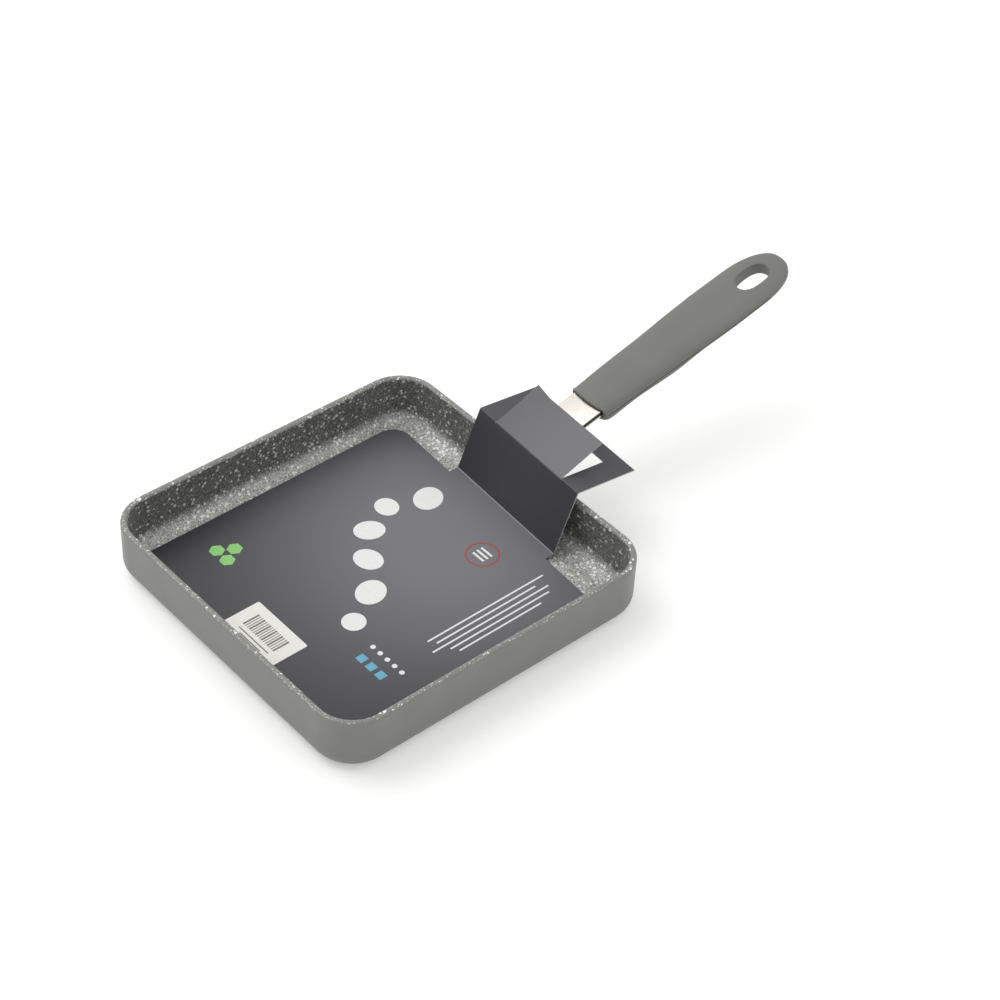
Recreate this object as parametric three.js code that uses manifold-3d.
// A small square frying pan with upright walls, a flat steel neck, a moulded grip
// and the folded card sleeve that it is sold in.
// Millimetres, +Z up. The origin is the centre of the flat base, and +X points along the handle.

import * as THREE from 'three';
import { mergeVertices } from 'three/addons/utils/BufferGeometryUtils.js';
import Module from 'manifold-3d';

const wasm = await Module();
wasm.setup();

const degrees = THREE.MathUtils.degToRad;

// Clearance between a piece and the piece that it sits on or passes through
const SEAT_GAP = 0.3;

// How far a cutting tool runs past the faces that it cuts, and how close two points count as one
const CUT_SPARE = 4;
const WELD_DISTANCE = 1e-4;

// Pan
const PAN_SIZE = 140;
const PAN_HEIGHT = 23;
const PAN_CORNER_RADIUS = 16;
const WALL_THICKNESS = 2.6;
const FLOOR_THICKNESS = 3;
const BASE_FILLET = 6.5;
const COVE_RADIUS = 7;
const RIM_ROUND = 1.1;
const RIM_FLAT = 0.2;
const LEAST_CORNER_RADIUS = 1;

// Handle bracket: a bent steel strap with a flange against the wall and a tang inside the grip
const STRAP_THICKNESS = 2.5;
const NECK_WIDTH = 15;
const NECK_REACH = 29.6;
const NECK_OVER_RIM = 4.1;
const HANDLE_TILT = degrees(13.26);
const BEND_RADIUS = 6;
const FLANGE_HEIGHT = 11;
const FLANGE_MARGIN = 5;
const FLANGE_CORNER = 2.5;
const TANG_LENGTH = 45;

// Rivets through the wall and the flange
const RIVET_SPACING = 20;
const RIVET_DIAMETER = 5;
const RIVET_HEAD_DIAMETER = 8;
const RIVET_HEAD_RISE = 1.2;
const RIVET_TAIL_DIAMETER = 7.4;
const RIVET_TAIL_RISE = 1.5;

// Grip: widths are measured across, heights from the middle of the tang
const GRIP_LENGTH = 102.5;
const GRIP_FRONT_WIDTH = 18.9;
const GRIP_WIDTH = 23.6;
const GRIP_WIDEST_AT = 65;
const GRIP_END_FLAT = 3;
const GRIP_END_POWER = 3;
const GRIP_FRONT_ROUND = 1.1;
const GRIP_CHIN_RISE = 3.6;
const GRIP_CHIN_LENGTH = 4;
const GRIP_END_ROUND = 1.6;
const GRIP_END_EDGE = 0.4;
const GRIP_FRONT_TOP = 3;
const GRIP_END_TOP = 2;
const GRIP_FRONT_DEPTH = 6.4;
const GRIP_FINGER_DEPTH = 4.9;
const GRIP_FINGER_AT = 18;
const GRIP_SWELL_DEPTH = 6;
const GRIP_SWELL_AT = 35;
const GRIP_WAIST_DEPTH = 4.2;
const GRIP_WAIST_AT = 53;
const GRIP_END_DEPTH = 3.6;
const GRIP_TOP_POWER = 3;
const GRIP_BOTTOM_POWER = 2.3;
const HANG_HOLE_LENGTH = 15.5;
const HANG_HOLE_WIDTH = 9.5;
const HANG_HOLE_FROM_END = 15.6;

// Screw that holds the grip on the tang, from below
const SCREW_DIAMETER = 4;
const SCREW_HEAD_DIAMETER = 7;
const SCREW_HEAD_HEIGHT = 2.2;
const SCREW_LAND = 1.9;
const SCREW_FROM_TANG_END = 10;

// Card sleeve: a floor panel, a riser up to the rim, a collar round the neck and a cut tongue
const CARD_THICKNESS = 0.5;
const CARD_TURN = degrees(-3.5);
const CARD_SHIFT = 0.9;
const CARD_LIFT = 1.2;
const CARD_RIDE = 0.4;
const CARD_CORNER_RADIUS = 10;
const CARD_RIM_GAP = 0.3;
const CARD_OVER_RIM = 6.3;
const CREASE_GAP = 0.25;
const CREASE_SETBACK = 2.5;
const SHOULDER_SETBACK = 4;
const SLEEVE_WIDTH = 58.6;
const COLLAR_LENGTH = 26.4;
const COLLAR_BAR = 6.8;
const COLLAR_NECK_GAP = 0.45;
const TONGUE_WIDTH = 38.8;
const TONGUE_LENGTH = 20.2;
const TONGUE_LIFT = degrees(23.4);

// Paper sticker on the floor panel
const STICKER_LENGTH = 28.5;
const STICKER_WIDTH = 18;
const STICKER_THICKNESS = 0.2;
const STICKER_EDGE = 0.8;
const STICKER_OFFSET = 0.8;

// Facets of round shapes
const CORNER_STEPS = 7;
const ARC_STEPS = 3;
const ROUND_STEPS = 24;
const GRIP_STATIONS = 26;
const GRIP_SECTION_POINTS = 28;

// Places that follow from the sizes above
const panHalf = PAN_SIZE / 2;
const innerHalf = panHalf - WALL_THICKNESS;
const rivetHeight = (FLOOR_THICKNESS + COVE_RADIUS + PAN_HEIGHT) / 2;
const rivetSides = { left: RIVET_SPACING / 2, right: -RIVET_SPACING / 2 };
const flangeX = panHalf + SEAT_GAP;
const strapX = flangeX + STRAP_THICKNESS / 2;
const tangHoleAt = TANG_LENGTH - SCREW_FROM_TANG_END;
const pocketHalf = STRAP_THICKNESS / 2 + SEAT_GAP;

// Height of the middle of the sloping neck at a distance x from the pan's centre
function neckHeight(x) {
  const topHeight = PAN_HEIGHT + NECK_OVER_RIM + (x - panHalf) * Math.tan(HANDLE_TILT);
  return topHeight - STRAP_THICKNESS / 2 / Math.cos(HANDLE_TILT);
}

const bendTurn = Math.PI / 2 - HANDLE_TILT;
const bendEndX = strapX + BEND_RADIUS * (1 - Math.cos(bendTurn));
const bendStartZ = neckHeight(bendEndX) - BEND_RADIUS * Math.sin(bendTurn);
const gripStartX = panHalf + NECK_REACH;

// Closed geometry as a solid that can be joined and cut
function toSolid(geometry) {
  const bare = geometry.clone();
  bare.deleteAttribute('normal');
  bare.deleteAttribute('uv');
  const merged = mergeVertices(bare, WELD_DISTANCE);
  const vertProperties = new Float32Array(merged.attributes.position.array);
  const triVerts = new Uint32Array(merged.index.array);
  return new wasm.Manifold(new wasm.Mesh({ numProp: 3, vertProperties, triVerts }));
}

function toGeometry(solid) {
  const mesh = solid.getMesh();
  const geometry = new THREE.BufferGeometry();
  geometry.setAttribute('position', new THREE.BufferAttribute(mesh.vertProperties, 3));
  geometry.setIndex(new THREE.BufferAttribute(mesh.triVerts, 1));
  geometry.computeVertexNormals();
  return geometry;
}

// One geometry with others cut out of it
function cut(geometry, tools) {
  const solid = tools.reduce((rest, tool) => rest.subtract(toSolid(tool)), toSolid(geometry));
  return toGeometry(solid);
}

// Skin through a row of flat sections with equal numbers of points, closed at both ends.
// place(point, k) gives the place in space of a point of section k.
function loft(sections, place) {
  const count = sections[0].length;
  const positions = sections.flatMap((section, k) => section.flatMap((point) => place(point, k).toArray()));
  const triangles = [];
  for (let k = 0; k + 1 < sections.length; k += 1) {
    for (let i = 0; i < count; i += 1) {
      const a = k * count + i;
      const b = k * count + ((i + 1) % count);
      triangles.push(a, b, b + count, a, b + count, a + count);
    }
  }
  const lastStart = (sections.length - 1) * count;
  for (const [a, b, c] of THREE.ShapeUtils.triangulateShape(sections[0], [])) {
    triangles.push(c, b, a);
  }
  for (const [a, b, c] of THREE.ShapeUtils.triangulateShape(sections[sections.length - 1], [])) {
    triangles.push(lastStart + a, lastStart + b, lastStart + c);
  }
  const geometry = new THREE.BufferGeometry();
  geometry.setAttribute('position', new THREE.Float32BufferAttribute(positions, 3));
  geometry.setIndex(triangles);
  geometry.computeVertexNormals();
  return geometry;
}

// Corner points of a square with rounded corners, anticlockwise
function roundedSquare(half, radius) {
  const points = [];
  for (let corner = 0; corner < 4; corner += 1) {
    const start = (corner * Math.PI) / 2;
    const centreX = (half - radius) * Math.sign(Math.cos(start + Math.PI / 4));
    const centreY = (half - radius) * Math.sign(Math.sin(start + Math.PI / 4));
    for (let step = 0; step <= CORNER_STEPS; step += 1) {
      const angle = start + (step / CORNER_STEPS) * (Math.PI / 2);
      points.push(new THREE.Vector2(centreX + radius * Math.cos(angle), centreY + radius * Math.sin(angle)));
    }
  }
  return points;
}

// Outline with its corners rounded, each corner given as a point and a radius
function roundedOutline(corners) {
  const outline = new THREE.Shape();
  corners.forEach(({ at, radius }, i) => {
    const before = corners[(i + corners.length - 1) % corners.length].at;
    const after = corners[(i + 1) % corners.length].at;
    const enter = at.clone().add(before.clone().sub(at).setLength(radius));
    const leave = at.clone().add(after.clone().sub(at).setLength(radius));
    if (i === 0) {
      outline.moveTo(enter.x, enter.y);
    } else {
      outline.lineTo(enter.x, enter.y);
    }
    if (radius > 0) {
      outline.quadraticCurveTo(at.x, at.y, leave.x, leave.y);
    }
  });
  outline.closePath();
  return outline;
}

// Flat sheet from an outline, from height low to height high
function sheet(outline, low, high) {
  const geometry = new THREE.ExtrudeGeometry(outline, {
    depth: high - low,
    bevelEnabled: false,
    curveSegments: 2 * ARC_STEPS,
  });
  geometry.translate(0, 0, low);
  return geometry;
}

// Round rod along +X from x = 0
function rodAlongX(radius, length) {
  const rod = new THREE.CylinderGeometry(radius, radius, length, ROUND_STEPS);
  rod.rotateZ(-Math.PI / 2);
  rod.translate(length / 2, 0, 0);
  return rod;
}

// Round rod along +Z from height low to height high
function rodAlongZ(radius, low, high) {
  const rod = new THREE.CylinderGeometry(radius, radius, high - low, ROUND_STEPS);
  rod.rotateX(Math.PI / 2);
  rod.translate(0, 0, (low + high) / 2);
  return rod;
}

// Holes for both rivets, through the wall and the flange
function rivetHoles() {
  const length = WALL_THICKNESS + SEAT_GAP + STRAP_THICKNESS + 2 * CUT_SPARE;
  return Object.values(rivetSides).map((y) => {
    const hole = rodAlongX(RIVET_DIAMETER / 2 + SEAT_GAP, length);
    return hole.translate(innerHalf - CUT_SPARE, y, rivetHeight);
  });
}

// Pan: one wall profile carried round a square with rounded corners
function panBody() {
  const rim = Math.min(RIM_ROUND, (WALL_THICKNESS - RIM_FLAT) / 2);
  const quarter = Math.PI / 2;
  const profile = new THREE.Path();
  profile.moveTo(panHalf - BASE_FILLET, 0);
  profile.absarc(panHalf - BASE_FILLET, BASE_FILLET, BASE_FILLET, -quarter, 0, false);
  profile.absarc(panHalf - rim, PAN_HEIGHT - rim, rim, 0, quarter, false);
  profile.absarc(innerHalf + rim, PAN_HEIGHT - rim, rim, quarter, 2 * quarter, false);
  profile.absarc(innerHalf - COVE_RADIUS, FLOOR_THICKNESS + COVE_RADIUS, COVE_RADIUS, 0, -quarter, true);
  const points = profile.getPoints(ARC_STEPS);
  const rings = points.map(({ x }) => {
    const radius = Math.max(PAN_CORNER_RADIUS - (panHalf - x), LEAST_CORNER_RADIUS);
    return roundedSquare(x, radius);
  });
  const shell = loft(rings, (point, k) => new THREE.Vector3(point.x, point.y, points[k].y));
  return cut(shell, rivetHoles());
}

// Bracket: the strap's side outline across the neck's width, joined to the wall flange
function handleBracket() {
  const bendCentreX = strapX + BEND_RADIUS;
  const bendStop = Math.PI - bendTurn;
  const outerRadius = BEND_RADIUS + STRAP_THICKNESS / 2;
  const innerRadius = BEND_RADIUS - STRAP_THICKNESS / 2;
  const run = (gripStartX - bendEndX) / Math.cos(HANDLE_TILT) + TANG_LENGTH;
  const along = new THREE.Vector2(Math.cos(HANDLE_TILT), Math.sin(HANDLE_TILT));
  const across = new THREE.Vector2(Math.sin(HANDLE_TILT), -Math.cos(HANDLE_TILT));
  const flangeBottom = rivetHeight - FLANGE_HEIGHT / 2;

  const side = new THREE.Shape();
  side.moveTo(flangeX, flangeBottom);
  side.absarc(bendCentreX, bendStartZ, outerRadius, Math.PI, bendStop, true);
  const topEnd = side.currentPoint.clone().addScaledVector(along, run);
  const underEnd = topEnd.clone().addScaledVector(across, STRAP_THICKNESS);
  side.lineTo(topEnd.x, topEnd.y);
  side.lineTo(underEnd.x, underEnd.y);
  side.absarc(bendCentreX, bendStartZ, innerRadius, bendStop, Math.PI, false);
  side.lineTo(flangeX + STRAP_THICKNESS, flangeBottom);
  side.closePath();
  const strap = sheet(side, -NECK_WIDTH / 2, NECK_WIDTH / 2);
  strap.rotateX(Math.PI / 2);

  const flangeHalf = RIVET_SPACING / 2 + FLANGE_MARGIN;
  const corners = [[-1, -1], [1, -1], [1, 1], [-1, 1]].map(([y, z]) => ({
    at: new THREE.Vector2(y * flangeHalf, (z * FLANGE_HEIGHT) / 2),
    radius: FLANGE_CORNER,
  }));
  const flange = sheet(roundedOutline(corners), 0, STRAP_THICKNESS);
  flange.applyMatrix4(new THREE.Matrix4().makeBasis(
    new THREE.Vector3(0, 1, 0),
    new THREE.Vector3(0, 0, 1),
    new THREE.Vector3(1, 0, 0),
  ));
  flange.translate(flangeX, 0, rivetHeight);

  const screwHole = rodAlongZ(SCREW_DIAMETER / 2 + SEAT_GAP, -STRAP_THICKNESS, STRAP_THICKNESS);
  screwHole.translate(tangHoleAt, 0, 0);
  screwHole.rotateY(-HANDLE_TILT);
  screwHole.translate(gripStartX, 0, neckHeight(gripStartX));
  const joined = toGeometry(toSolid(strap).add(toSolid(flange)));
  return cut(joined, [...rivetHoles(), screwHole]);
}

// Rivet: a domed head inside the pan, a shank, and a closed tail on the flange
function rivet() {
  const tailSeat = WALL_THICKNESS + STRAP_THICKNESS + 2 * SEAT_GAP;
  const profile = new THREE.Path();
  profile.moveTo(0, -SEAT_GAP - RIVET_HEAD_RISE);
  profile.absellipse(0, -SEAT_GAP, RIVET_HEAD_DIAMETER / 2, RIVET_HEAD_RISE, -Math.PI / 2, 0, false);
  profile.lineTo(RIVET_DIAMETER / 2, -SEAT_GAP);
  profile.lineTo(RIVET_DIAMETER / 2, tailSeat);
  profile.lineTo(RIVET_TAIL_DIAMETER / 2, tailSeat);
  profile.absellipse(0, tailSeat, RIVET_TAIL_DIAMETER / 2, RIVET_TAIL_RISE, 0, Math.PI / 2, false);
  const turned = new THREE.LatheGeometry(profile.getPoints(ARC_STEPS), ROUND_STEPS);
  return turned.rotateZ(-Math.PI / 2);
}

// Value at s on a smooth line through a few stations, each a place and a value
function easedThrough(stations, s) {
  const next = stations.findIndex(([place]) => place >= s);
  if (next <= 0) {
    return stations[Math.max(next, 0)][1];
  }
  const [fromPlace, fromValue] = stations[next - 1];
  const [toPlace, toValue] = stations[next];
  const share = (1 - Math.cos((Math.PI * (s - fromPlace)) / (toPlace - fromPlace))) / 2;
  return fromValue + (toValue - fromValue) * share;
}

// Half width of the grip at a distance s from its front: a steady swell, then a full round end
function gripHalfWidth(s) {
  if (s <= GRIP_WIDEST_AT) {
    return (GRIP_FRONT_WIDTH + (GRIP_WIDTH - GRIP_FRONT_WIDTH) * (s / GRIP_WIDEST_AT)) / 2;
  }
  const share = (s - GRIP_WIDEST_AT) / (GRIP_LENGTH - GRIP_WIDEST_AT);
  const round = (1 - Math.min(share, 1) ** GRIP_END_POWER) ** (1 / GRIP_END_POWER);
  return Math.max((GRIP_WIDTH / 2) * round, GRIP_END_FLAT / 2);
}

// How far the skin is drawn in by an oval rounding, at a distance from the end that is rounded
function drawnIn(distance, length, rise) {
  const share = Math.max(1 - distance / length, 0);
  return rise * (1 - Math.sqrt(1 - share ** 2));
}

// Oval section of the grip: flatter on top, rounder below
function gripSection(s) {
  const endRound = Math.min(GRIP_END_ROUND, GRIP_END_TOP - GRIP_END_EDGE);
  const atEnd = drawnIn(GRIP_LENGTH - s, endRound, endRound);
  const atFront = drawnIn(s, GRIP_FRONT_ROUND, GRIP_FRONT_ROUND);
  const halfWidth = gripHalfWidth(s) - atFront;
  const top = easedThrough([[0, GRIP_FRONT_TOP], [GRIP_LENGTH, GRIP_END_TOP]], s) - atFront - atEnd;
  const depthStations = [
    [0, GRIP_FRONT_DEPTH],
    [GRIP_FINGER_AT, GRIP_FINGER_DEPTH],
    [GRIP_SWELL_AT, GRIP_SWELL_DEPTH],
    [GRIP_WAIST_AT, GRIP_WAIST_DEPTH],
    [GRIP_LENGTH, GRIP_END_DEPTH],
  ];
  const depth = easedThrough(depthStations, s) - drawnIn(s, GRIP_CHIN_LENGTH, GRIP_CHIN_RISE) - atEnd;
  const points = [];
  for (let i = 0; i < GRIP_SECTION_POINTS; i += 1) {
    const angle = (2 * Math.PI * i) / GRIP_SECTION_POINTS;
    const across = Math.cos(angle);
    const up = Math.sin(angle);
    const power = up >= 0 ? GRIP_TOP_POWER : GRIP_BOTTOM_POWER;
    const height = up >= 0 ? top : depth;
    points.push(new THREE.Vector2(
      halfWidth * Math.sign(across) * Math.abs(across) ** (2 / power),
      height * Math.sign(up) * Math.abs(up) ** (2 / power),
    ));
  }
  return points;
}

// Grip, along +X from its front, with the tang's pocket, the hang hole and the screw's hole
function grip() {
  const stations = Array.from({ length: GRIP_STATIONS + 1 }, (_, i) => {
    return (GRIP_LENGTH * (1 - Math.cos((Math.PI * i) / GRIP_STATIONS))) / 2;
  });
  const sections = stations.map(gripSection);
  const body = loft(sections, (point, k) => new THREE.Vector3(stations[k], point.x, point.y));

  const pocketLength = TANG_LENGTH + SEAT_GAP + GRIP_FRONT_ROUND;
  const pocket = new THREE.BoxGeometry(pocketLength, NECK_WIDTH + 2 * SEAT_GAP, 2 * pocketHalf);
  pocket.translate(pocketLength / 2 - GRIP_FRONT_ROUND, 0, 0);

  const tall = GRIP_FRONT_TOP + GRIP_SWELL_DEPTH;
  const oval = new THREE.Shape();
  oval.absellipse(0, 0, HANG_HOLE_LENGTH / 2, HANG_HOLE_WIDTH / 2, 0, 2 * Math.PI, false);
  const hangHole = new THREE.ExtrudeGeometry(oval, {
    depth: 2 * tall,
    bevelEnabled: false,
    curveSegments: ROUND_STEPS / 2,
  });
  hangHole.translate(GRIP_LENGTH - HANG_HOLE_FROM_END, 0, -tall);

  const screwHole = rodAlongZ(SCREW_DIAMETER / 2 + SEAT_GAP, -tall, 0);
  const headRecess = rodAlongZ(SCREW_HEAD_DIAMETER / 2 + SEAT_GAP, -tall, -pocketHalf - SCREW_LAND);
  screwHole.translate(tangHoleAt, 0, 0);
  headRecess.translate(tangHoleAt, 0, 0);
  return cut(body, [pocket, hangHole, screwHole, headRecess]);
}

// Screw: a pan head below the land in the grip, and a shank up through the tang
function gripScrew() {
  const seat = -pocketHalf - SCREW_LAND - SEAT_GAP;
  const radius = SCREW_HEAD_DIAMETER / 2;
  const profile = new THREE.Path();
  profile.moveTo(0, seat - SCREW_HEAD_HEIGHT);
  profile.absellipse(0, seat - SCREW_HEAD_HEIGHT / 2, radius, SCREW_HEAD_HEIGHT / 2, -Math.PI / 2, 0, false);
  profile.lineTo(radius, seat);
  profile.lineTo(SCREW_DIAMETER / 2, seat);
  profile.lineTo(SCREW_DIAMETER / 2, STRAP_THICKNESS / 2);
  profile.lineTo(0, STRAP_THICKNESS / 2);
  const turned = new THREE.LatheGeometry(profile.getPoints(ARC_STEPS), ROUND_STEPS);
  return turned.rotateX(Math.PI / 2);
}

// Card sleeve: its folds are turned a little against the pan, and its floor panel lies square in it
const panelHalf = innerHalf - COVE_RADIUS + CARD_RIDE;
const creaseX = panelHalf - CREASE_SETBACK;
const panelEdgeZ = FLOOR_THICKNESS + SEAT_GAP + CARD_THICKNESS;
const creaseZ = panelEdgeZ + CARD_LIFT;
const panelTilt = Math.atan2(creaseZ - panelEdgeZ, creaseX + panelHalf);
const rimPassX = innerHalf - CARD_RIM_GAP - (SLEEVE_WIDTH / 2) * Math.abs(Math.sin(CARD_TURN));
const riserLean = Math.atan2(rimPassX - CARD_THICKNESS - creaseX, PAN_HEIGHT - RIM_ROUND - creaseZ);
const collarZ = PAN_HEIGHT + CARD_OVER_RIM;
const riserLength = (collarZ - creaseZ + CARD_THICKNESS * Math.sin(riserLean)) / Math.cos(riserLean);
const collarX = creaseX + CARD_THICKNESS * Math.cos(riserLean) + riserLength * Math.sin(riserLean);

// A place on the pan's floor, as seen from the lower crease
function fromCrease(x, y) {
  const point = new THREE.Vector2(x, y - CARD_SHIFT).rotateAround(new THREE.Vector2(), -CARD_TURN);
  return point.sub(new THREE.Vector2(creaseX, 0));
}

// Where the shoulder line meets the panel's side edge at y
function shoulderCorner(y) {
  const across = (y - CARD_SHIFT - (creaseX - SHOULDER_SETBACK) * Math.sin(CARD_TURN)) / Math.cos(CARD_TURN);
  return new THREE.Vector2(-SHOULDER_SETBACK, across);
}

function cardFloorPanel() {
  const half = SLEEVE_WIDTH / 2;
  const corners = [
    { at: new THREE.Vector2(-CREASE_GAP, -half), radius: 0 },
    { at: new THREE.Vector2(-CREASE_GAP, half), radius: 0 },
    { at: new THREE.Vector2(-SHOULDER_SETBACK, half), radius: 0 },
    { at: shoulderCorner(panelHalf), radius: CARD_CORNER_RADIUS },
    { at: fromCrease(-panelHalf, panelHalf), radius: CARD_CORNER_RADIUS },
    { at: fromCrease(-panelHalf, -panelHalf), radius: CARD_CORNER_RADIUS },
    { at: shoulderCorner(-panelHalf), radius: CARD_CORNER_RADIUS },
    { at: new THREE.Vector2(-SHOULDER_SETBACK, -half), radius: 0 },
  ];
  return sheet(roundedOutline(corners), -CARD_THICKNESS, 0);
}

function cardSticker() {
  const near = -panelHalf + STICKER_EDGE;
  const far = near + STICKER_WIDTH;
  const left = STICKER_OFFSET + STICKER_LENGTH / 2;
  const right = STICKER_OFFSET - STICKER_LENGTH / 2;
  const corners = [[near, right], [far, right], [far, left], [near, left]];
  const outline = roundedOutline(corners.map(([x, y]) => ({ at: fromCrease(x, y), radius: 0 })));
  return sheet(outline, SEAT_GAP, SEAT_GAP + STICKER_THICKNESS);
}

function cardRiser() {
  const height = riserLength - 2 * CREASE_GAP;
  const panel = new THREE.BoxGeometry(CARD_THICKNESS, SLEEVE_WIDTH, height);
  return panel.translate(CARD_THICKNESS / 2, 0, riserLength / 2);
}

// Collar: two side bars from the upper crease and an outer bar that hooks under the neck
function cardCollar() {
  const half = SLEEVE_WIDTH / 2;
  const windowHalf = TONGUE_WIDTH / 2 + SEAT_GAP;
  const windowEnd = COLLAR_LENGTH - COLLAR_BAR;
  const corners = [
    [CREASE_GAP, -half],
    [COLLAR_LENGTH, -half],
    [COLLAR_LENGTH, half],
    [CREASE_GAP, half],
    [CREASE_GAP, windowHalf],
    [windowEnd, windowHalf],
    [windowEnd, -windowHalf],
    [CREASE_GAP, -windowHalf],
  ];
  const outline = new THREE.Shape(corners.map(([u, v]) => new THREE.Vector2(u, v)));
  return sheet(outline, 0, CARD_THICKNESS);
}

function cardTongue() {
  const length = TONGUE_LENGTH - CREASE_GAP;
  const panel = new THREE.BoxGeometry(length, TONGUE_WIDTH, CARD_THICKNESS);
  return panel.translate(CREASE_GAP + length / 2, 0, CARD_THICKNESS / 2);
}

// Slope of the collar that brings its outer bar just under the neck
function collarSlope() {
  const reach = COLLAR_LENGTH - COLLAR_BAR;
  const underNeck = neckHeight(collarX) - STRAP_THICKNESS / 2 / Math.cos(HANDLE_TILT);
  const drop = (underNeck - collarZ) * Math.cos(HANDLE_TILT) - COLLAR_NECK_GAP;
  const toNeck = Math.asin(drop / Math.hypot(reach, CARD_THICKNESS)) - Math.atan2(CARD_THICKNESS, reach);
  return HANDLE_TILT + toNeck;
}

function material(color, roughness, metalness) {
  return new THREE.MeshStandardMaterial({ color, roughness, metalness });
}

const panCoating = material('#6c6d69', 0.55, 0.1);
const polishedSteel = material('#d8d4cb', 0.22, 1);
const softGrip = material('#80817b', 0.6, 0);
const darkCard = material('#55555b', 0.5, 0);
const whitePaper = material('#f1efe9', 0.7, 0);

function piece(name, geometry, finish) {
  const mesh = new THREE.Mesh(geometry, finish);
  mesh.name = name;
  return mesh;
}

const pan = new THREE.Group();
pan.add(piece('pan_body', panBody(), panCoating));
pan.add(piece('handle_bracket', handleBracket(), polishedSteel));
for (const [side, y] of Object.entries(rivetSides)) {
  const wallRivet = piece(`wall_rivet_${side}`, rivet(), polishedSteel);
  wallRivet.position.set(innerHalf, y, rivetHeight);
  pan.add(wallRivet);
}

const handle = new THREE.Group();
handle.position.set(gripStartX, 0, neckHeight(gripStartX));
handle.rotation.y = -HANDLE_TILT;
const screw = piece('grip_screw', gripScrew(), polishedSteel);
screw.position.x = tangHoleAt;
handle.add(piece('grip', grip(), softGrip), screw);
pan.add(handle);

const folds = new THREE.Group();
folds.position.y = CARD_SHIFT;
folds.rotation.z = CARD_TURN;
const floorFold = new THREE.Group();
floorFold.position.set(creaseX, 0, creaseZ);
floorFold.rotation.y = -panelTilt;
floorFold.add(piece('card_floor_panel', cardFloorPanel(), darkCard));
floorFold.add(piece('card_sticker', cardSticker(), whitePaper));
const riserFold = new THREE.Group();
riserFold.position.set(creaseX, 0, creaseZ);
riserFold.rotation.y = riserLean;
riserFold.add(piece('card_riser', cardRiser(), darkCard));
const collarFold = new THREE.Group();
collarFold.position.set(collarX, 0, collarZ);
collarFold.rotation.y = -collarSlope();
collarFold.add(piece('card_collar', cardCollar(), darkCard));
const tongueFold = new THREE.Group();
tongueFold.position.set(collarX, 0, collarZ);
tongueFold.rotation.y = -TONGUE_LIFT;
tongueFold.add(piece('card_tongue', cardTongue(), darkCard));
folds.add(floorFold, riserFold, collarFold, tongueFold);
pan.add(folds);

export default pan;
